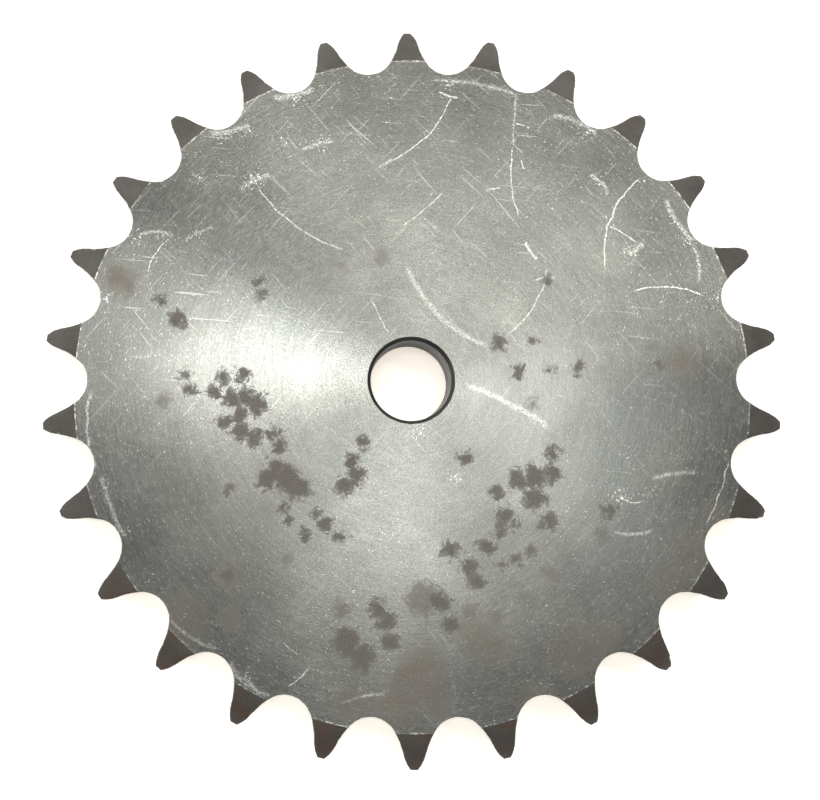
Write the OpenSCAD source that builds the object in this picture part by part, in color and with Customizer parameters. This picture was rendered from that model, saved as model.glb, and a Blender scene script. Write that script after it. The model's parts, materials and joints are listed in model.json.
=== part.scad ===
// Plate sprocket for single-strand roller chain: one flat toothed steel disc without a hub, with a
// plain stock bore. The gaps between the teeth follow the standard tooth form for roller chain:
// a round seat for the roller, a working curve, a short flat and a topping curve on each side.
// The origin is the centre of the bore on the back face, +Z is the shaft axis, and one tooth
// points along +Y.

/* [Chain] */
// Pitch of the chain, from one roller to the next
chain_pitch = 19.05; // [16:0.05:24]
// Diameter of the chain's rollers
roller_d = 11.91; // [9.5:0.01:13]

/* [Plate] */
// Number of teeth
teeth = 26; // [13:1:60]
// Thickness of the plate
plate_t = 11.66; // [6:0.01:20]

/* [Tooth sides] */
// Width of the band, from the tips inward, in which the sides of the teeth slope away
relief_w = 8.3; // [4:0.1:12]
// How far each side has sloped away at the tips
relief_drop = 2.38; // [1.2:0.01:2.9]
// Angle at which the sides of the teeth leave the flat faces
relief_lead = 3.6; // [1:0.1:5]

/* [Bore] */
// Diameter of the bore
bore_d = 18.26; // [10:0.01:60]
// Width of the 45 degree chamfer at both ends of the bore
bore_chamfer = 0.7; // [0.2:0.05:2]

/* [Fit of the roller] */
// How much larger the radius of a roller's seat is than the roller's own
seat_clearance = 0.068; // [0.02:0.002:0.2]

/* [Hidden] */
$fn = 240;

// Angle from one tooth to the next, and half of it
tooth_step = 360 / teeth;
half_step = tooth_step / 2;

// Pitch circle, on which the rollers' centres lie, and outside circle of the teeth
pitch_r = chain_pitch / sin(half_step) / 2;
tip_share = 0.6;
tip_r = chain_pitch * (tip_share + cos(half_step) / sin(half_step)) / 2;

// Neighbouring curves of the tooth form touch in theory. Here each bites into the next by a hair
// and runs on inside it, so that they always cross in one clean corner.
bite = 0.002;
lap_angle = 5;

// The tooth form is laid out round the centre of a seated roller, with the tooth on its +X side
// and +Y pointing out of the sprocket. The shares and angles are those of the standard form.
seat_r = roller_d / 2 + seat_clearance;
seat_angle = 35 + 60 / teeth;
working_angle = 18 - 56 / teeth;
topping_angle = 17 - 64 / teeth;
working_offset = 0.8 * roller_d;
topping_offset = 1.4 * roller_d;

// The working curve takes over from the seat, with its centre across the gap
working_c = working_offset * [-cos(seat_angle), sin(seat_angle)];
working_r = working_offset + seat_r - bite;
working_end_angle = working_angle - seat_angle;
flat_normal = direction(working_end_angle);
flat_start = working_c + (working_r - bite) * flat_normal;

// The flat lies square to the working curve's last radius and ends at the topping curve, whose
// centre is inside the tooth
topping_c = topping_offset * [cos(half_step), -sin(half_step)];
topping_to_flat = (topping_c - flat_start) * flat_normal;
topping_r = topping_to_flat + bite;
flat_end = topping_c - topping_to_flat * flat_normal;

// The topping curve would run on to the middle of the tooth, where its two flanks would meet
tooth_middle = [sin(half_step), cos(half_step)];
tooth_side = [cos(half_step), -sin(half_step)];
sprocket_c = [0, -pitch_r];
topping_reach = (topping_c - sprocket_c) * tooth_middle;
topping_aside = (topping_c - sprocket_c) * tooth_side;
point_r = topping_reach + sqrt(topping_r * topping_r - topping_aside * topping_aside);
tooth_point = sprocket_c + point_r * tooth_middle;

// Room that cutting shapes take beyond the plate, and to the far side of the tooth's middle
over = 4;
clear_of_tip = sprocket_c + (max(tip_r, point_r) + over) * tooth_middle + tooth_side;

// Side of the teeth: an arc from the edge of the flat face to the tips
relief_slope = atan(relief_drop / relief_w);
relief_r = norm([relief_w, relief_drop]) / 2 / sin(relief_slope - relief_lead);
relief_edge_r = tip_r - relief_w;
relief_c = [relief_edge_r - relief_r * sin(relief_lead), plate_t - relief_r * cos(relief_lead)];

bore_r = bore_d / 2;

function direction(angle) = [cos(angle), sin(angle)];
function mirrored(points) = [for (p = points) [-p[0], p[1]]];
function reversed(points) = [for (i = [len(points) - 1:-1:0]) points[i]];

// Slice of a disc round the origin between two angles less than 180 degrees apart
module sector(r, from, to) {
    middle = (from + to) / 2;
    reach = 2 * r;
    far = reach / cos((to - from) / 2);
    intersection() {
        circle(r);
        polygon([[0, 0], reach * direction(from), far * direction(middle), reach * direction(to)]);
    }
}

// Round bottom of the gap, in which the roller sits
module seat() {
    sector(seat_r, seat_angle - 180 - lap_angle, lap_angle - seat_angle);
}

// Hollow flank that the roller rolls up, on the side of one tooth
module working_curve() {
    translate(working_c) sector(working_r, -seat_angle, working_end_angle + lap_angle);
}

// Open mouth of the gap above the working curves, with the rounded top of the two flanks
module mouth() {
    flank = [flat_start, flat_end, tooth_point, clear_of_tip];
    difference() {
        polygon(concat(flank, reversed(mirrored(flank))));
        for (side = [0, 1]) mirror([side, 0]) translate(topping_c) circle(topping_r);
    }
}

// Gap between two teeth, laid out round the centre of its roller, with a core that covers the
// point where its slices meet
module gap_outline() {
    circle(seat_r / 2);
    seat();
    working_curve();
    mirror([1, 0]) working_curve();
    mouth();
}

// Outline of the toothed disc, open past the tips, which the blank cuts to length
module tooth_outline() {
    difference() {
        circle(tip_r + over);
        for (i = [0:teeth - 1]) rotate((i + 0.5) * tooth_step) translate([0, pitch_r]) gap_outline();
    }
}

// Half section of the disc before its teeth are cut, with the radius along X
module web_section() {
    chamfered_r = bore_r + bore_chamfer;
    polygon([
        [bore_r, bore_chamfer],
        [chamfered_r, 0],
        [relief_c[0], 0],
        [relief_c[0], plate_t],
        [chamfered_r, plate_t],
        [bore_r, plate_t - bore_chamfer]
    ]);
}

// Half section of the rim, whose two sides slope away along arcs
module rim_section() {
    rim_start_r = relief_c[0] - over;
    intersection() {
        translate([rim_start_r, 0]) square([tip_r - rim_start_r, plate_t]);
        translate(relief_c) circle(relief_r);
        translate([relief_c[0], plate_t - relief_c[1]]) circle(relief_r);
    }
}

module blank() {
    rotate_extrude() {
        web_section();
        rim_section();
    }
}

module sprocket_plate() {
    color("gray") intersection() {
        blank();
        translate([0, 0, -over]) linear_extrude(plate_t + 2 * over) tooth_outline();
    }
}

sprocket_plate();
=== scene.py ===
"""Looks of a flat plate sprocket for roller chain.

The plate is one steel piece. Its mesh is worked out here from the frame's sizes, with the same
tooth form as the solid and with the small broken edges that the solid leaves sharp. Its finish
comes from shader nodes: turned faces, darker sloping tooth sides, oxide stains, scratches and
burnished edges, with painted glints, painted highlights on the edges and painted shade towards
the rim and in the bore's mouth.

Lengths are in millimetres up to the point where a mesh, lamp or camera is made.
"""

import json
import math
from types import SimpleNamespace

import bpy
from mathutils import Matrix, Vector, noise
from mathutils.geometry import delaunay_2d_cdt


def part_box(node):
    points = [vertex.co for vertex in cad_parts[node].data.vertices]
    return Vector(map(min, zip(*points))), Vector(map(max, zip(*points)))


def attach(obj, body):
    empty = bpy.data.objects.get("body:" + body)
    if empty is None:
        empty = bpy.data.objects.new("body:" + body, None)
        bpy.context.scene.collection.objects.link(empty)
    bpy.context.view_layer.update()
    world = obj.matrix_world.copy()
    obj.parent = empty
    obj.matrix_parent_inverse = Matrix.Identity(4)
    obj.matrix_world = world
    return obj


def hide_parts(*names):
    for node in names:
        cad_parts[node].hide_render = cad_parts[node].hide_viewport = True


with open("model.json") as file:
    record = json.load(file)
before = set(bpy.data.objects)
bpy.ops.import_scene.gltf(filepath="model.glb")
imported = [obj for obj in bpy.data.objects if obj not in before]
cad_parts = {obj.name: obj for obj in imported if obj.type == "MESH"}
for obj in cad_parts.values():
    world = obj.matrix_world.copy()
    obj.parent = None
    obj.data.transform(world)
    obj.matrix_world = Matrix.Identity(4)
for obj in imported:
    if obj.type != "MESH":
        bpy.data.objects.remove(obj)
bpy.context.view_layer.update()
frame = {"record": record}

MM = 0.001
NODE = "sprocket_plate"
record = frame["record"]
mounts = {mount["name"]: mount for mount in record["mounts"]}
low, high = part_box(NODE)

# Sizes that the frame gives
THICKNESS = (high.z - low.z) / MM
TIP_R = (high.y - low.y) / 2 / MM
BORE_R = mounts["bore"]["dims"]["r_mm"]
BORE_CHAMFER = (THICKNESS - mounts["bore"]["dims"]["length_mm"]) / 2
PITCH_R = Vector(mounts["roller_seat"]["pos_m"][:2]).length / MM
TEETH = len(record["physics"]["openings"])
TOOTH_STEP = math.tau / TEETH

# Sizes of the standard tooth form, as in the solid
ROLLER_D = 11.91
SEAT_CLEARANCE = 0.068
RELIEF_W = 8.3
RELIEF_DROP = 2.38
RELIEF_LEAD = math.radians(3.6)
RELIEF_EDGE_R = TIP_R - RELIEF_W
RELIEF_SLOPE = math.atan(RELIEF_DROP / RELIEF_W)
RELIEF_R = math.hypot(RELIEF_W, RELIEF_DROP) / 2 / math.sin(RELIEF_SLOPE - RELIEF_LEAD)

# Edges that are broken or blended, which the solid leaves sharp
EDGE_BREAK = 0.17
BORE_BREAK = 0.08
BORE_BLEND = 0.07
BORE_EDGE_R = BORE_R + BORE_CHAMFER + BORE_BREAK

# How finely curves are divided
FINE_STEP = 0.05
EDGE_STEP = 0.4
RING_STEP = 0.7
RELIEF_RINGS = (0.0, 0.17, 0.34, 0.5, 0.66, 0.82)
WEB_RINGS = (14, 22, 34, 48, 60, 69)
BREAK_TURNS = (0, 30, 60, 90)
BORE_SIDES = 192
SHARP_ANGLE = math.radians(33)


# ---------------------------------------------------------------- outline of the toothed plate

def direction(angle):
    """Unit vector at an angle from the X axis."""
    return Vector((math.cos(angle), math.sin(angle)))


def arc(centre, radius, start, end):
    """Finely spaced points along an arc, without its last one."""
    steps = max(2, round(abs(end - start) * radius / FINE_STEP))
    return [centre + radius * direction(start + (end - start) * i / steps) for i in range(steps)]


def half_gap():
    """Right half of a tooth gap as (distance from the shaft, angle from the gap's middle)."""
    half_step = TOOTH_STEP / 2
    seat_r = ROLLER_D / 2 + SEAT_CLEARANCE
    seat_angle = math.radians(35 + 60 / TEETH)
    working_angle = math.radians(18 - 56 / TEETH)
    working_c = 0.8 * ROLLER_D * Vector((-math.cos(seat_angle), math.sin(seat_angle)))
    working_r = 0.8 * ROLLER_D + seat_r
    end_angle = working_angle - seat_angle
    normal = direction(end_angle)
    flat_start = working_c + working_r * normal
    topping_c = 1.4 * ROLLER_D * Vector((math.cos(half_step), -math.sin(half_step)))
    topping_r = (topping_c - flat_start).dot(normal)
    flat_end = topping_c - topping_r * normal
    shaft = Vector((0, -PITCH_R))

    points = arc(Vector((0, 0)), seat_r, -math.pi / 2, -seat_angle)
    points += arc(working_c, working_r, -seat_angle, end_angle)
    flat_steps = round((flat_end - flat_start).length / FINE_STEP)
    points += [flat_start.lerp(flat_end, i / flat_steps) for i in range(flat_steps)]
    rounding = arc(topping_c, topping_r, end_angle + math.pi, half_step)
    points += [p for p in rounding if (p - shaft).length < TIP_R and p.x < topping_c.x]
    return [((p - shaft).length, math.atan2(p.x, p.y + PITCH_R)) for p in points]


def fine_outline():
    """Closed outline of the plate, anticlockwise, with the places of the tooth tips' corners."""
    flank = half_gap()
    tip_angle = flank[-1][1]
    tip_steps = round(TIP_R * (TOOTH_STEP - 2 * tip_angle) / FINE_STEP)
    points, corners = [], []
    for tooth in range(TEETH):
        middle = math.pi / 2 + (tooth + 0.5) * TOOTH_STEP
        polar = [(r, middle + a) for r, a in flank]
        corners.append(len(points) + len(polar))
        start, end = middle + tip_angle, middle + TOOTH_STEP - tip_angle
        polar += [(TIP_R, start + (end - start) * i / tip_steps) for i in range(tip_steps + 1)]
        corners.append(len(points) + len(polar) - 1)
        polar += [(r, middle + TOOTH_STEP - a) for r, a in reversed(flank[1:])]
        points += [r * direction(a) for r, a in polar]
    return points, corners


def height(radius):
    """Height of the front side at a distance from the shaft."""
    if radius <= RELIEF_EDGE_R:
        return THICKNESS
    centre_r = RELIEF_EDGE_R - RELIEF_R * math.sin(RELIEF_LEAD)
    centre_z = THICKNESS - RELIEF_R * math.cos(RELIEF_LEAD)
    return centre_z + math.sqrt(RELIEF_R ** 2 - (radius - centre_r) ** 2)


def edge_break(point):
    """How much of the sharp edge is broken off at a place on the outline, with a few nicks."""
    wear = noise.noise(Vector((point.x * 0.35, point.y * 0.35, 3.0)))
    grit = noise.noise(Vector((point.x * 1.7, point.y * 1.7, 9.0)))
    nick = noise.noise(Vector((point.x * 0.6, point.y * 0.6, 21.0)))
    return EDGE_BREAK + 0.05 * wear + 0.04 * grit + 0.9 * max(0.0, nick - 0.42)


def loop_samples(inner, corners):
    """Places along the fine outline that the mesh keeps, and those that lie on each relief ring."""
    total = len(inner)
    radii = [p.length for p in inner]
    keep = {float(c) for c in corners}
    rings = [[] for _ in RELIEF_RINGS]
    for number, share in enumerate(RELIEF_RINGS):
        ring_r = RELIEF_EDGE_R + share * RELIEF_W
        for i in range(total):
            a, b = radii[i], radii[(i + 1) % total]
            if (a - ring_r) * (b - ring_r) < 0:
                place = i + (ring_r - a) / (b - a)
                rings[number].append(place)
                keep.add(place)
    stride = round(EDGE_STEP / FINE_STEP)
    margin = 0.3 * stride  # no evenly spaced place comes nearer than this to a fixed one
    fixed = sorted(keep)
    nearest = 0
    for i in range(0, total, stride):
        while nearest < len(fixed) - 1 and abs(fixed[nearest + 1] - i) <= abs(fixed[nearest] - i):
            nearest += 1
        if abs(fixed[nearest] - i) > margin:
            keep.add(float(i))
    return sorted(keep), rings


def at(points, place):
    """Point at a fractional place along a closed run of points."""
    i = int(place)
    return points[i % len(points)].lerp(points[(i + 1) % len(points)], place - i)


# ---------------------------------------------------------------- mesh of the plate

FACE, RELIEF, FLANK, EDGE, BORE = range(5)


def circle_points(radius, sides):
    """Evenly spaced points on a circle round the shaft."""
    return [radius * direction(math.tau * i / sides) for i in range(sides)]


def side_triangles(inner, places, rings, bore_r):
    """Flat triangles of one side of the plate, between the outline's inner loop and the bore."""
    points = [at(inner, place) for place in places]
    count = len(points)
    edges = [(i, (i + 1) % count) for i in range(count)]

    def add_chain(chain, first=None, last=None):
        """Adds a closed ring, or a run that joins two points of the outline."""
        ids = list(range(len(points), len(points) + len(chain)))
        points.extend(chain)
        if first is None:
            edges.extend(zip(ids, ids[1:] + ids[:1]))
        else:
            ids = [first, *ids, last]
            edges.extend(zip(ids, ids[1:]))

    add_chain(circle_points(bore_r, BORE_SIDES))
    for ring_r in WEB_RINGS:
        add_chain(circle_points(ring_r, round(math.tau * ring_r / (2 + ring_r / 20))))
    index_of = {place: i for i, place in enumerate(places)}
    for crossings in rings:
        for start, end in zip(crossings[::2], crossings[1::2]):
            a, b = at(inner, start), at(inner, end)
            steps = max(2, round((b - a).length / RING_STEP))
            first, turn = math.atan2(a.y, a.x), a.angle_signed(b) * -1
            between = [a.length * direction(first + turn * i / steps) for i in range(1, steps)]
            add_chain(between, index_of[start], index_of[end])

    flat, _, faces, origins, _, _ = delaunay_2d_cdt(points, edges, [], 1, 1e-6)
    from_outline = {}
    for new, old in enumerate(origins):
        for i in old:
            if i < count + BORE_SIDES:
                from_outline[i] = new
    kept = []
    for face in faces:
        middle = sum((flat[i] for i in face), Vector((0, 0))) / len(face)
        if middle.length > bore_r * math.cos(math.pi / BORE_SIDES):
            kept.append(tuple(face))
    return flat, kept, from_outline


class Shell:
    """Vertices and faces of the plate, with the material slot of each face."""

    def __init__(self):
        self.vertices, self.faces, self.groups = [], [], []

    def add_vertices(self, new):
        """Adds vertices and returns their numbers."""
        start = len(self.vertices)
        self.vertices += new
        return range(start, len(self.vertices))

    def add_faces(self, new, group):
        self.faces += new
        self.groups += [group] * len(new)

    def add_band(self, upper, lower, group, inside=False):
        """Closed band of quads between two loops, facing the shaft if it is inside."""
        count = len(upper)
        pairs = [(i, (i + 1) % count) for i in range(count)]
        quads = [(upper[i], lower[i], lower[j], upper[j]) for i, j in pairs]
        self.add_faces([quad[::-1] for quad in quads] if inside else quads, group)


def add_sides(shell, flat, triangles):
    """Both sides of the plate, the back one as a mirror of the front one."""
    for front in (True, False):
        heights = [height(p.length) for p in flat]
        points = [(p.x, p.y, z if front else THICKNESS - z) for p, z in zip(flat, heights)]
        ids = shell.add_vertices(points)
        for a, b, c in triangles:
            middle_r = ((flat[a] + flat[b] + flat[c]) / 3).length
            group = FACE if middle_r < RELIEF_EDGE_R else RELIEF
            order = (a, b, c) if front else (c, b, a)
            shell.add_faces([tuple(ids[i] for i in order)], group)


def add_outer_edge(shell, outline, inward, breaks, places, front_loop, back_loop):
    """Rounded edges of the teeth, and the flanks between them."""
    front_half = [front_loop]
    for turn in BREAK_TURNS[1:]:
        inset, drop = 1 - math.sin(math.radians(turn)), 1 - math.cos(math.radians(turn))
        ring = []
        for place in places:
            size = breaks[int(place) % len(breaks)]
            p = at(outline, place) + at(inward, place) * size * inset
            ring.append((p.x, p.y, height(p.length) - size * drop))
        front_half.append(shell.add_vertices(ring))
    back_half = []
    for loop in reversed(front_half[1:]):
        points = [shell.vertices[i] for i in loop]
        back_half.append(shell.add_vertices([(x, y, THICKNESS - z) for x, y, z in points]))
    loops = [*front_half, *back_half, back_loop]
    for row, (upper, lower) in enumerate(zip(loops, loops[1:])):
        shell.add_band(upper, lower, FLANK if row == len(BREAK_TURNS) - 1 else EDGE)


def add_bore(shell, front_loop, back_loop):
    """Bore and its chamfers, from the front edge to the back one."""
    profile = [
        (BORE_EDGE_R - BORE_BLEND, THICKNESS - BORE_BREAK / 2),
        (BORE_R + BORE_BLEND, THICKNESS - BORE_CHAMFER),
        (BORE_R, THICKNESS - BORE_CHAMFER - BORE_BREAK),
    ]
    profile += [(r, THICKNESS - z) for r, z in reversed(profile)]
    loops = [front_loop]
    for r, z in profile:
        loops.append(shell.add_vertices([(*p, z) for p in circle_points(r, BORE_SIDES)]))
    loops.append(back_loop)
    for row, (upper, lower) in enumerate(zip(loops, loops[1:])):
        shell.add_band(upper, lower, EDGE if row in (0, len(profile)) else BORE, inside=True)


def plate_mesh():
    """Closed mesh of the toothed plate."""
    outline, corners = fine_outline()
    total = len(outline)
    breaks = [edge_break(p) for p in outline]
    inward = []
    for i in range(total):
        along = (outline[(i + 2) % total] - outline[i - 2]).normalized()
        inward.append(Vector((-along.y, along.x)))
    inner = [p + n * b for p, n, b in zip(outline, inward, breaks)]
    places, rings = loop_samples(inner, corners)
    count = len(places)
    flat, triangles, from_outline = side_triangles(inner, places, rings, BORE_EDGE_R)

    shell = Shell()
    add_sides(shell, flat, triangles)
    outer = [from_outline[i] for i in range(count)]
    around_bore = [from_outline[count + i] for i in range(BORE_SIDES)]
    back = len(flat)
    add_outer_edge(shell, outline, inward, breaks, places, outer, [back + i for i in outer])
    add_bore(shell, around_bore, [back + i for i in around_bore])

    mesh = bpy.data.meshes.new("plate")
    mesh.from_pydata([tuple(c * MM for c in v) for v in shell.vertices], [], shell.faces)
    mesh.polygons.foreach_set("material_index", shell.groups)
    # The face stays flat shaded. Marking sharp edges resets flat faces, so it comes first.
    mesh.set_sharp_from_angle(angle=SHARP_ANGLE)
    mesh.polygons.foreach_set("use_smooth", [group != FACE for group in shell.groups])
    return mesh


# ---------------------------------------------------------------- shader nodes

class Graph:
    """Short calls that add nodes to a material or world."""

    def __init__(self, tree):
        self.tree = tree
        tree.nodes.clear()

    def node(self, kind, inputs=None, **settings):
        """Adds a node. Inputs are fixed values or other nodes' outputs."""
        made = self.tree.nodes.new(kind)
        for name, value in settings.items():
            setattr(made, name, value)
        for name, value in (inputs or {}).items():
            if isinstance(value, bpy.types.NodeSocket):
                self.tree.links.new(value, made.inputs[name])
            else:
                made.inputs[name].default_value = value
        return made

    def math(self, operation, *values):
        made = self.node("ShaderNodeMath", dict(enumerate(values)), operation=operation)
        return made.outputs[0]

    def vector(self, operation, *values, output=0, **inputs):
        inputs = dict(enumerate(values)) | inputs
        return self.node("ShaderNodeVectorMath", inputs, operation=operation).outputs[output]

    def combine(self, x, y, z):
        return self.node("ShaderNodeCombineXYZ", {0: x, 1: y, 2: z}).outputs[0]

    def step(self, value, start, end, low=0.0, high=1.0):
        """Smooth rise from low to high as value goes from start to end."""
        inputs = {"Value": value, "From Min": start, "From Max": end, "To Min": low, "To Max": high}
        made = self.node("ShaderNodeMapRange", inputs, interpolation_type="SMOOTHSTEP")
        return made.outputs[0]

    def noise(self, vector, scale, detail=2.0, roughness=0.5, distortion=0.0):
        inputs = {
            "Vector": vector,
            "Scale": scale,
            "Detail": detail,
            "Roughness": roughness,
            "Distortion": distortion,
        }
        return self.node("ShaderNodeTexNoise", inputs).outputs["Fac"]

    def mix(self, share, a, b, blend="MIX"):
        made = self.node("ShaderNodeMix", data_type="RGBA", blend_type=blend)
        for socket, value in ((made.inputs[0], share), (made.inputs[6], a), (made.inputs[7], b)):
            if isinstance(value, bpy.types.NodeSocket):
                self.tree.links.new(value, socket)
            else:
                socket.default_value = value
        return made.outputs[2]

    def bump(self, height_value, strength, distance):
        inputs = {"Height": height_value, "Strength": strength, "Distance": distance}
        return self.node("ShaderNodeBump", inputs).outputs[0]


def rgb(red, green, blue):
    """Colour with full alpha."""
    return (red, green, blue, 1.0)


def scaled(colour, factor):
    """The same colour, lighter or darker."""
    return rgb(*(channel * factor for channel in colour[:3]))


def new_material(name):
    """Material with a Principled shader, its graph and that shader."""
    material = bpy.data.materials.new(name)
    material.use_nodes = True
    graph = Graph(material.node_tree)
    output = graph.node("ShaderNodeOutputMaterial")
    shader = graph.node("ShaderNodeBsdfPrincipled")
    graph.tree.links.new(shader.outputs[0], output.inputs[0])
    return material, graph, shader


def connect(graph, shader, **values):
    """Sets the shader's sockets, given as words joined by underscores."""
    for name, value in values.items():
        socket = shader.inputs[name.replace("_", " ")]
        if isinstance(value, bpy.types.NodeSocket):
            graph.tree.links.new(value, socket)
        else:
            socket.default_value = value


def place_mm(graph):
    """Position on the plate, in millimetres."""
    position = graph.node("ShaderNodeTexCoord").outputs["Object"]
    return graph.vector("MULTIPLY", position, (1000, 1000, 1000))


# ---------------------------------------------------------------- marks on the turned faces
# Places are (x, y, radius) on the front face.

# Oxide stains with ragged borders
STAINS = (
    (-42.5, 0.5, 1.2), (-38, 1, 1.4), (-44, -2.5, 1.3), (-51, 1, 0.9), (-49.8, -2, 1.1),
    (-40, -4.5, 2), (-37.5, -4, 2), (-34.5, -5.5, 2.1), (-38.5, -7.5, 1.9), (-42, -9.5, 1.2),
    (-38, -11.5, 2), (-35, -13, 1.9), (-31, -12, 1.2), (-29.5, -15, 1.5), (-30, -19.5, 2),
    (-32, -22, 2.2), (-28, -22, 3), (-25.3, -24, 2.6), (-28.5, -28.5, 1), (-27.5, -31, 0.9),
    (-21.5, -29.5, 1.2), (-19, -32, 1.4), (-16, -34.5, 1.1), (-23.8, -34, 1.1), (-13.5, -18, 1.5),
    (-12.3, -21, 2.1), (-15, -23.5, 1.8), (-11, -14, 1.1), (-40.5, -24, 1), (-40.5, -43, 1.5),
    (-8, -50, 1.6), (-6, -52.5, 1.8), (-5.3, -57, 1.6), (-14.5, -57, 2.8), (-11.5, -60, 2.6),
    (12, -17.5, 1.4), (31.5, -16, 1.2), (23.5, -22, 2.1), (27, -21.5, 2.5), (31, -20.8, 1.8),
    (27, -26, 2.4), (29.8, -31.3, 1.7), (18.8, -25, 1.2), (20.3, -30, 1.6), (22.5, -32, 0.9),
    (19, -33.5, 1.3), (16.5, -36.8, 1.6), (8, -37.5, 1.6), (26, -38, 1.3), (23, -39.3, 1.1),
    (19.5, -40.3, 0.9), (12.5, -41, 1.7), (14, -44, 1.6), (43.2, -29, 1.4), (6, -48.5, 1.9),
    (8, -53.5, 1.5), (-34.7, 22.5, 1.3), (-33.9, 19.8, 1.1), (-56.5, 18, 1), (-53, 14, 1.6),
    (20, 8.5, 1.5), (23.8, 1.8, 1.1), (37.5, 2.8, 1.2), (31.2, 23, 0.9), (55.5, 3.2, 1),
    (27.3, 9, 0.7), (31.4, 2.6, 0.6),
)
# Paler stains
FAINT_STAINS = (
    (-55.5, -4.5, 1.6), (-57.5, -21.5, 1.6), (-28, -39.5, 1.5), (-15.5, -50, 2), (-14, -69.5, 4),
    (27, -5.5, 1.5), (30, -43, 1.8), (42, -34.5, 1.8), (12.5, -50.5, 2), (18, -51.5, 2),
    (-1, -66, 5), (5, -69, 4), (-67, 24, 2.8), (-64, 21.5, 2), (-16, 26.5, 1.6), (-6.5, 28.5, 2.2),
    (61, 5, 2.5), (54.5, 8, 1.3), (23.5, -47, 1.2), (-40, -52, 3), (2, -48, 4),
)
# Soft reddish patches
RUST = (
    (14, -55, 5), (17, -58, 4), (35, -59, 6), (41, -56, 4), (61, -38, 5), (55, -45, 4),
    (2, -63, 6), (-4, -70, 5), (-40, -43, 3), (61, 4, 4), (-66, 23, 4), (-28, -22, 4),
    (-50, -52, 6), (26, -69, 4), (66, -30, 3),
)
# Patches of short bright scuffs
SCUFFS = (
    (-63, 33, 3), (-57, 33.5, 2.3), (-48.5, 34, 2.2), (-36, 46.5, 3.4), (-29, 56, 1.8),
    (-21, 55.3, 2.8), (-43, 58, 2.6), (-37, 58.5, 2), (-27, 67.5, 3.4), (-49, 47, 3), (-69.5, 19, 2.6),
    (-63.5, -34, 2.6), (-68, -24, 2.2), (-57.5, -43.5, 1.8), (-43.5, -57.5, 1.8), (-36, -64.5, 2.8),
    (10, 70, 2.8), (8, 67, 1.6), (42, 58.5, 2.8), (38, 60.5, 2), (44, 46, 2), (50.5, 29.5, 3),
    (64, 32, 2.4), (61, 36, 1.6), (54, 46.5, 2), (70, 19, 2.6), (57.5, 17.5, 1.5), (44.5, 38, 1.4),
    (8.5, 17.8, 1.3), (10, -22, 2.8), (14, -21.5, 1.3), (34.5, -28.5, 1.4), (23, -29, 1.8),
    (1.5, -11.8, 2.6), (46, -26, 3), (52.5, -24.5, 2), (48, -17, 1.8), (58.5, -17.5, 1.5),
    (69.5, -16, 2), (-3, 71, 2), (22, 69, 2), (28.5, -65.5, 1.6), (-6, -34, 2),
)

# Scratches: start, a place half way along the curve, end, and width
SCRATCHES = (
    ((10, 67), (5.5, 58.7), (-4, 51.5), 0.28), ((7.5, 43.5), (3, 39.2), (-2, 35.5), 0.17),
    ((24.3, 55), (23.6, 46), (25, 38), 0.24), ((-35, 45), (-27.6, 36.6), (-15, 30), 0.28),
    ((53.5, 47), (46.3, 37.5), (44.6, 25.5), 0.32), ((31.5, 26), (28.3, 17.5), (22, 10.5), 0.22),
    ((-9, 19), (-7.3, 15), (-5, 11), 0.2), ((50.5, 20.3), (59, 21.2), (66.5, 19.5), 0.28),
    ((70, -18), (67.6, -25.5), (64.5, -32), 0.24), ((26.5, 32), (27.4, 29.8), (29, 28), 0.55),
    ((17.5, 44), (19.3, 44.4), (21, 44.5), 0.2), ((25, 60.3), (26.6, 59.9), (28, 59.2), 0.3),
    ((46, 35.5), (49, 33.8), (52, 31.5), 0.22), ((28, 23), (30.5, 23.5), (33, 23.5), 0.22),
    ((26, 51.5), (26.2, 50.5), (26.7, 49.3), 0.25), ((46, -26.5), (48.5, -27.1), (51, -26.9), 0.22),
    ((-27, -66), (-24.6, -64.2), (-22.5, -62), 0.2), ((-28, -57), (-26.7, -58.3), (-25, -59.5), 0.16),
    ((-55, 33), (-58, 29.8), (-60, 25), 0.2), ((7, 68), (9, 67.3), (11.5, 66.8), 0.4),
)
# Wide faint rubs, given in the same way
RUBS = (
    ((-1, 27), (3.5, 17.8), (18, 7.5), 1.3), ((12, -1), (22, -5.4), (31, -11), 1.3),
    ((25.5, 68), (24.6, 62), (24.5, 55), 0.6), ((-62, 34), (-58, 34.4), (-54, 33.5), 1.0),
    ((-52, 32), (-48.5, 34.2), (-45, 35.5), 0.9), ((-25, 54), (-21.5, 55.4), (-17.5, 56.3), 1.0),
    ((-39.5, 44.3), (-36, 46.4), (-32, 47.8), 1.3), ((-16, -69.5), (-11, -68), (-6, -67.7), 0.7),
    ((53, -22), (58, -20.8), (63, -20.5), 1.0), ((44, -33.5), (48.5, -34), (53, -33), 0.7),
    ((64.5, 31), (66, 26.6), (65.5, 22), 0.7), ((59, 42), (61.5, 36.5), (65, 31.5), 1.2),
    ((33, 62), (39, 60.8), (44, 57), 1.3), ((5, 71), (15, 70.2), (26, 67), 1.0),
    ((-4, 51.5), (-5.5, 50.6), (-7, 49.5), 0.8), ((42, 48), (44.5, 45.5), (46, 43), 1.0),
    ((50, 29), (52, 30.2), (53.5, 31.5), 1.4), ((-47, 58), (-42, 58.5), (-37, 60), 1.3),
    ((-32, 66.5), (-27, 67.3), (-22, 69), 1.5), ((-72, -2), (-72.6, -10), (-70, -20), 0.8),
    ((-69, -21), (-67, -27), (-63, -35), 1.2), ((-40, -61), (-36.5, -65), (-31, -68), 1.2),
    ((-53, -52), (-48, -56), (-42, -58.5), 0.8),
)
# Hairlines all over: direction in radians, and a shift that keeps them apart
HAIRLINES = ((0.75, 3.0), (0.9, 11.0), (2.3, 19.0), (0.1, 31.0))
# How far scratches and rubs waver round their arcs
WAVER = 1.1


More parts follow.
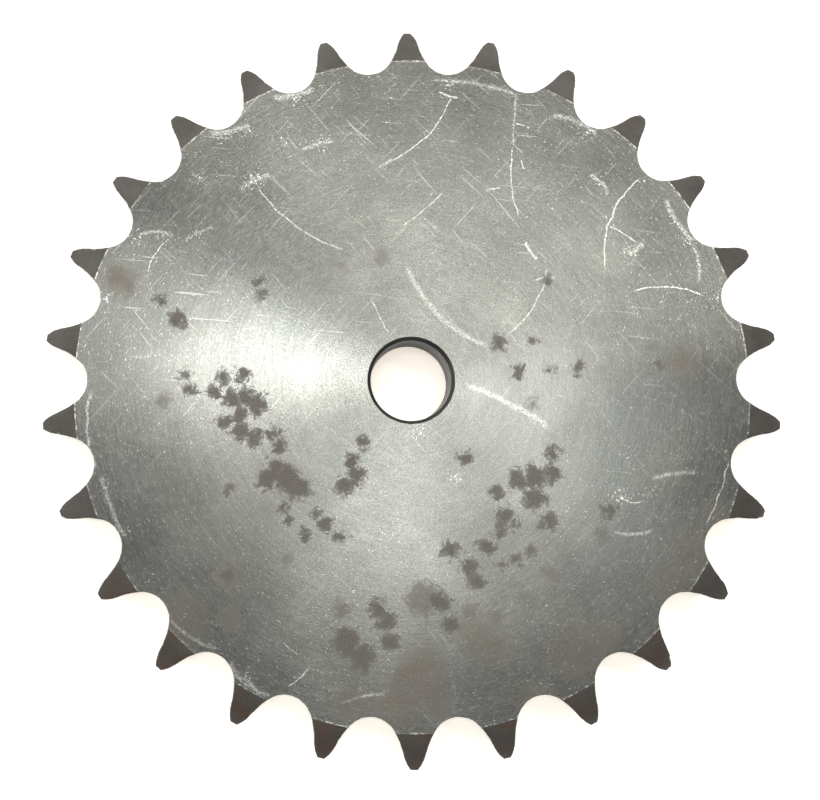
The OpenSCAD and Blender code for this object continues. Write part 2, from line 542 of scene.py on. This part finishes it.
def spot_field(graph, place, spots):
    """Distance in from the border of the nearest spot, below 0 outside all of them."""
    field = -4.0
    for x, y, spread in spots:
        distance = graph.vector("DISTANCE", place, (x, y, THICKNESS), output=1)
        field = graph.math("MAXIMUM", field, graph.math("SUBTRACT", spread, distance))
    return field


def scratch(graph, place, start, middle, end, width):
    """Bright line along the arc through three places."""
    a, b, c = (Vector((*p, 0.0)) for p in (start, middle, end))
    span, rise = c - a, b - (a + c) / 2
    normal = Vector((-span.y, span.x, 0.0)).normalized()
    sag = rise.dot(normal)
    radius = (span.length_squared / 4 + sag ** 2) / 2 / sag
    centre = (a + c) / 2 + normal * (sag - radius)
    distance = graph.vector("DISTANCE", place, tuple(centre), output=1)
    off_line = graph.math("ABSOLUTE", graph.math("SUBTRACT", distance, abs(radius)))
    line = graph.step(off_line, 0.1 * width, 0.85 * width, 1.0, 0.0)
    across = graph.vector("SUBTRACT", place, tuple((a + c) / 2))
    along = graph.vector("LENGTH", across, output=1)
    half = span.length / 2
    return graph.math("MULTIPLY", line, graph.step(along, 0.85 * half, 1.05 * half, 1.0, 0.0))


def brightest(graph, values):
    """Largest of several values."""
    result = None
    for value in values:
        result = value if result is None else graph.math("MAXIMUM", result, value)
    return result


def hairlines(graph, place, angle, shift):
    """Sparse thin scratches that run one way."""
    inputs = {"Vector": place, "Angle": angle}
    turned = graph.node("ShaderNodeVectorRotate", inputs, rotation_type="Z_AXIS").outputs[0]
    stretched = graph.vector("MULTIPLY", turned, (0.07, 2.0, 1.0))
    moved = graph.vector("ADD", stretched, (shift, 2.0 * shift, 0.0))
    return graph.step(graph.noise(moved, 1.0, 1.0, 0.4, 0.3), 0.69, 0.77)


def ring_noise(graph, radius, heading, rings, turns, detail):
    """Noise that is fine across the turning marks and long along them."""
    x, y, _ = graph.node("ShaderNodeSeparateXYZ", {0: heading}).outputs
    x, y = graph.math("MULTIPLY", x, turns), graph.math("MULTIPLY", y, turns)
    return graph.noise(graph.combine(graph.math("MULTIPLY", radius, rings), x, y), 1.0, detail, 0.55)


# ---------------------------------------------------------------- finishes
# In these functions g is the material's Graph, and n holds what face_noises gives.

STEEL_DARK = rgb(0.164, 0.167, 0.150)
STEEL_LIGHT = rgb(0.209, 0.212, 0.192)
STEEL_COOL = rgb(0.170, 0.178, 0.165)
# Bare steel of scratches and scuffs, also the colour of painted glints and highlights
STEEL_BRIGHT = rgb(0.6, 0.6, 0.56)
OXIDE_DARK = rgb(0.07, 0.061, 0.052)
OXIDE_LIGHT = rgb(0.15, 0.132, 0.112)
FACE_RUST = rgb(0.105, 0.075, 0.052)
TOOTH_RUST = rgb(0.11, 0.062, 0.045)
# Black painted shade in the bore's mouth, and how far down it reaches
PAINTED_SHADE_BLACK = rgb(0.012, 0.012, 0.011)
PAINTED_SHADE_DEPTH = 1.3


def face_noises(g):
    """Places and noises that the parts of the turned finish share."""
    n = SimpleNamespace(place=place_mm(g))
    n.flat = g.vector("MULTIPLY", n.place, (1, 1, 0))
    n.radius = g.vector("LENGTH", n.flat, output=1)
    heading = g.vector("NORMALIZE", n.flat)
    _, n.y, _ = g.node("ShaderNodeSeparateXYZ", {0: n.flat}).outputs

    # Ring marks of the turning tool, short streaks along them and glinting specks, which in the colour
    # are painted glints
    n.rings = ring_noise(g, n.radius, heading, 1.6, 5, 3.0)
    n.streaks = ring_noise(g, n.radius, heading, 3.4, 40, 3.0)
    n.glints = ring_noise(g, n.radius, heading, 4.2, 90, 2.0)
    n.clouds = g.noise(n.flat, 0.05, 4.0, 0.6)
    n.mottle = g.noise(n.flat, 0.8, 4.0, 0.7)
    n.grain = g.noise(n.flat, 3.0, 2.0, 0.6)
    fine = g.math("MULTIPLY", g.noise(n.flat, 1.7, 3.0, 0.6), 0.6)
    n.flecks = g.math("ADD", fine, g.math("MULTIPLY", n.glints, 0.4))

    # How far the ragged borders of spots stray, in millimetres
    ragged = g.noise(n.flat, 0.5, 6.0, 0.72, 0.8)
    n.wander = g.math("MULTIPLY_ADD", ragged, 8.0, g.math("MULTIPLY_ADD", n.grain, 3.6, -5.9))
    return n


def marks_and_painted_glints(g, n):
    """Mask of scratches, rubs, scuffs, hairlines, painted glints and a burnished rim with painted
    highlight.
    """
    shaken = g.node("ShaderNodeTexNoise", {"Vector": n.flat, "Scale": 0.3}).outputs["Color"]
    shifted = g.vector("ADD", n.flat, (-WAVER / 2, -WAVER / 2, 0.0))
    shaken = g.vector("MULTIPLY_ADD", shaken, (WAVER, WAVER, 0.0), shifted)
    lines = brightest(g, [scratch(g, shaken, *marks) for marks in SCRATCHES])
    lines = g.math("MULTIPLY", lines, g.step(n.flecks, 0.38, 0.56, 0.1, 0.85))
    rubs = brightest(g, [scratch(g, shaken, *marks) for marks in RUBS])
    rubbed = g.math("MULTIPLY_ADD", rubs, 0.12, n.flecks)
    rubs = g.math("MULTIPLY", rubs, g.step(rubbed, 0.5, 0.7, 0.03, 0.46))

    scuffs = g.math("MULTIPLY_ADD", n.wander, 0.02, n.flecks)
    scuffs = g.math("MULTIPLY_ADD", spot_field(g, n.place, SCUFFS), 0.035, scuffs)
    scuffs = g.step(scuffs, 0.585, 0.69, 0.0, 0.8)
    thin = brightest(g, [hairlines(g, n.flat, angle, shift) for angle, shift in HAIRLINES])
    thin = g.math("MULTIPLY", thin, g.step(n.y, -30.0, 40.0, 0.1, 0.3))
    # Painted glints: bright specks along the turning marks
    painted_glints = g.math("MULTIPLY", g.step(n.glints, 0.63, 0.74), 0.55)
    # Burnished rim inside the crease, partly a painted highlight along it
    rim = g.step(n.radius, RELIEF_EDGE_R - 0.45, RELIEF_EDGE_R - 0.1)
    rim = g.math("MULTIPLY", rim, g.step(n.mottle, 0.44, 0.62, 0.0, 0.7))
    return brightest(g, [lines, rubs, scuffs, thin, painted_glints, rim])


def clean_steel(g, n):
    """Colour of the clean face: turning streaks, partly painted glints, and painted shade towards the
    rim.
    """
    steel = g.mix(g.step(n.clouds, 0.35, 0.65), STEEL_DARK, STEEL_LIGHT)
    steel = g.mix(g.step(g.noise(n.flat, 0.03, 2.0), 0.45, 0.65, 0.0, 0.6), steel, STEEL_COOL)
    # Streaks along the turning marks, partly painted glints, stronger towards the top
    painted_glint_contrast = g.step(n.y, -45.0, -10.0, 0.1, 0.19)
    painted_glint_contrast = g.math("MULTIPLY", painted_glint_contrast, g.math("SUBTRACT", n.streaks, 0.5))
    shade = g.math("MULTIPLY_ADD", painted_glint_contrast, 2.4, 1.0)
    shade = g.math("MULTIPLY", shade, g.step(n.rings, 0.3, 0.7, 0.93, 1.07))
    # Painted shade: darker towards the rim
    shade = g.math("MULTIPLY", shade, g.step(n.radius, 25.0, 74.0, 1.12, 0.62))
    return g.vector("SCALE", steel, Scale=shade)


def turned_face():
    """Turned steel with ring marks, bright marks, oxide stains and rust."""
    material, g, shader = new_material("turned_face")
    n = face_noises(g)
    stain = g.step(g.math("ADD", spot_field(g, n.place, STAINS), n.wander), -1.0, 0.7)
    faint = g.step(g.math("ADD", spot_field(g, n.place, FAINT_STAINS), n.wander), -1.0, 1.6)
    rust = g.step(g.math("ADD", spot_field(g, n.place, RUST), n.wander), -2.5, 3.5)

    oxide = g.mix(g.step(n.grain, 0.3, 0.7), OXIDE_DARK, OXIDE_LIGHT)
    colour = g.mix(marks_and_painted_glints(g, n), clean_steel(g, n), STEEL_BRIGHT)
    colour = g.mix(g.math("MULTIPLY", rust, 0.32), colour, FACE_RUST)
    colour = g.mix(g.math("MULTIPLY", faint, 0.5), colour, oxide)
    colour = g.mix(g.math("MULTIPLY", stain, 0.86), colour, oxide)

    covered = brightest(g, [stain, g.math("MULTIPLY", faint, 0.4), g.math("MULTIPLY", rust, 0.3)])
    roughness = g.step(n.streaks, 0.25, 0.75, 0.22, 0.29)
    bumps = g.math("ADD", g.math("MULTIPLY", n.glints, 0.6), g.math("MULTIPLY", n.streaks, 0.5))
    bumps = g.math("SUBTRACT", bumps, g.math("MULTIPLY", stain, 0.5))
    connect(
        g,
        shader,
        Base_Color=colour,
        Metallic=g.math("SUBTRACT", 1.0, g.math("MULTIPLY", covered, 0.6)),
        Roughness=g.math("ADD", roughness, g.math("MULTIPLY", covered, 0.3)),
        Normal=g.bump(bumps, 0.22, 0.00008),
        Anisotropic=0.9,
        Anisotropic_Rotation=0.25,
        Tangent=g.node("ShaderNodeTangent", direction_type="RADIAL", axis="Z").outputs[0],
    )
    return material


def dark_steel(name, colour, worn, roughness, scale, shade_black_from=None):
    """Oxidised steel in two tones, rusty and rubbed brighter in places, with black painted shade above
    a height.
    """
    material, g, shader = new_material(name)
    place = place_mm(g)
    _, y, z = g.node("ShaderNodeSeparateXYZ", {0: place}).outputs
    clouds = g.noise(place, 0.11 * scale, 4.0, 0.6)
    grain = g.noise(place, 2.6 * scale, 3.0, 0.65)
    rubbed = g.step(g.noise(place, 0.8 * scale, 5.0, 0.7), 0.64, 0.74)
    rust = g.step(g.noise(place, 0.16 * scale, 4.0, 0.65, 0.4), 0.46, 0.66)
    rust = g.math("MULTIPLY", rust, g.step(y, -70.0, -20.0, 0.7, 0.12))
    tone = g.mix(g.step(clouds, 0.3, 0.7), colour, scaled(colour, 0.62))
    tone = g.mix(g.step(grain, 0.3, 0.7, 0.0, 0.4), tone, scaled(colour, 1.35))
    tone = g.mix(rust, tone, TOOTH_RUST)
    tone = g.mix(g.math("MULTIPLY", rubbed, 0.35), tone, worn)
    if shade_black_from is not None:
        # Black painted shade over the chamfer and the top of the bore wall, above that height
        tone = g.mix(g.step(z, shade_black_from, shade_black_from + 0.3, 0.0, 0.9), tone, PAINTED_SHADE_BLACK)
    connect(
        g,
        shader,
        Base_Color=tone,
        Metallic=0.6,
        Roughness=g.step(clouds, 0.3, 0.7, roughness - 0.07, roughness + 0.07),
        Normal=g.bump(grain, 0.25, 0.00006),
    )
    return material


def worn_edge_and_highlight():
    """Bare steel along the broken edges, with oxide left in patches, and partly a painted edge
    highlight.
    """
    material, g, shader = new_material("worn_edge_and_highlight")
    patches = g.step(g.noise(place_mm(g), 0.55, 4.0, 0.7), 0.42, 0.6)
    # The bright steel is both bare wear and a painted highlight on the edges
    colour = g.mix(patches, rgb(0.16, 0.155, 0.14), rgb(0.62, 0.61, 0.57))
    connect(g, shader, Base_Color=colour, Metallic=0.9, Roughness=0.38)
    return material


def relief_steel():
    """Sloping sides of the teeth."""
    return dark_steel("relief_steel", rgb(0.094, 0.086, 0.076), rgb(0.36, 0.34, 0.3), 0.5, 1.0)


def flank_steel():
    """Cut sides of the tooth gaps."""
    return dark_steel("flank_steel", rgb(0.16, 0.155, 0.145), rgb(0.5, 0.49, 0.46), 0.45, 1.4)


def bore_steel():
    """Wall of the bore, with black painted shade over the chamfer at the front."""
    grey, worn = rgb(0.3, 0.28, 0.25), rgb(0.5, 0.47, 0.43)
    return dark_steel("bore_steel", grey, worn, 0.36, 1.2, THICKNESS - PAINTED_SHADE_DEPTH)


# ---------------------------------------------------------------- plate

def make_plate():
    """The dressed plate, in place of the plain solid."""
    plate = bpy.data.objects.new("steel_plate", plate_mesh())
    bpy.context.scene.collection.objects.link(plate)
    # In the order of FACE, RELIEF, FLANK, EDGE and BORE
    for finish in (turned_face, relief_steel, flank_steel, worn_edge_and_highlight, bore_steel):
        plate.data.materials.append(finish())
    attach(plate, "root")
    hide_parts(NODE)


# ---------------------------------------------------------------- floor, light and camera

FLOOR_SIZE = 8.0
FLOOR_GAP = 0.0001
FLOOR_LIFT = rgb(0.56, 0.50, 0.40)

# Lamps: name, place and size in metres, power in watts and, if it isn't white, colour
LAMPS = (
    ("left_lamp", (-0.122, 0.107, 0.90), (0.12, 0.12), 0.8),
    ("top_lamp", (-0.06, 0.01, 0.95), (0.2, 0.2), 0.3),
    ("near_lamp", (0.05, -0.11, 1.0), (0.14, 0.14), 0.55),
    ("right_lamp", (0.22, 0.0, 0.93), (0.25, 0.25), 0.72),
    ("side_lamp", (0.33, 0.19, 0.92), (0.25, 0.25), 0.15),
    ("rim_lamp", (-0.35, 0.19, 0.92), (0.25, 0.25), 0.55),
    ("far_tube", (0.15, 0.46, 1.0), (1.7, 0.06), 4.8, (1.0, 0.98, 0.95)),
)

# Camera: place in metres, turn in degrees, lens and sensor in millimetres
CAMERA_PLACE = (-0.01329, -0.01588, 0.1750)
CAMERA_TURN = (6.361, 0.166, -0.030)
CAMERA_LENS = 32.05
CAMERA_SENSOR = 36.0
CAMERA_SHIFT = (0.0730, -0.0367)


def make_floor():
    """White sheet under the plate. The camera sees it lifted to white, with a warm shadow."""
    bpy.ops.mesh.primitive_plane_add(size=FLOOR_SIZE, location=(0, 0, low.z - FLOOR_GAP))
    floor = bpy.context.object
    floor.name = "floor"
    material, g, shader = new_material("floor_white")
    connect(
        g,
        shader,
        Base_Color=rgb(0.86, 0.86, 0.86),
        Roughness=0.9,
        Specular_IOR_Level=0.1,
        Emission_Color=FLOOR_LIFT,
        Emission_Strength=g.node("ShaderNodeLightPath").outputs["Is Camera Ray"],
    )
    floor.data.materials.append(material)


def make_world():
    """Room light, brighter overhead, low down and on the far side. The camera sees plain white."""
    world = bpy.data.worlds.new("room")
    world.use_nodes = True
    g = Graph(world.node_tree)
    look = g.node("ShaderNodeTexCoord").outputs["Generated"]
    _, _, up = g.node("ShaderNodeSeparateXYZ", {0: look}).outputs
    far = g.vector("DOT_PRODUCT", look, (-0.5, 0.87, 0.0), output=1)
    wall = g.step(far, -0.3, 0.4, 0.08, 1.5)
    low_wall = g.math("MAXIMUM", wall, g.step(up, 0.3, 0.42, 0.8, 0.0))
    level = g.step(up, 0.72, 0.86, low_wall, 0.25)
    level = g.step(up, 0.955, 0.985, level, 1.1)
    level = g.math("MAXIMUM", level, g.node("ShaderNodeLightPath").outputs["Is Camera Ray"])
    background = g.node("ShaderNodeBackground", {"Color": rgb(1.0, 1.0, 1.0), "Strength": level})
    g.node("ShaderNodeOutputWorld", {"Surface": background.outputs[0]})
    bpy.context.scene.world = world


def make_lamp(name, place, size, power, colour=(1.0, 1.0, 1.0)):
    """Flat lamp that faces the middle of the plate."""
    data = bpy.data.lights.new(name, "AREA")
    data.shape = "RECTANGLE"
    data.size, data.size_y = size
    data.energy = power
    data.color = colour
    lamp = bpy.data.objects.new(name, data)
    lamp.location = place
    toward = Vector((0.0, 0.0, high.z)) - lamp.location
    lamp.rotation_euler = toward.to_track_quat("-Z", "Y").to_euler()
    bpy.context.scene.collection.objects.link(lamp)


def make_camera():
    """Camera at the photograph's place, close above the plate."""
    data = bpy.data.cameras.new("camera")
    data.lens = CAMERA_LENS
    data.sensor_width = CAMERA_SENSOR
    data.shift_x, data.shift_y = CAMERA_SHIFT
    data.clip_start = 0.01
    camera = bpy.data.objects.new("camera", data)
    camera.location = CAMERA_PLACE
    camera.rotation_euler = [math.radians(angle) for angle in CAMERA_TURN]
    bpy.context.scene.collection.objects.link(camera)
    bpy.context.scene.camera = camera


make_camera()
make_plate()
make_floor()
make_world()
for lamp_values in LAMPS:
    make_lamp(*lamp_values)
bpy.context.scene.view_settings.view_transform = "Standard"
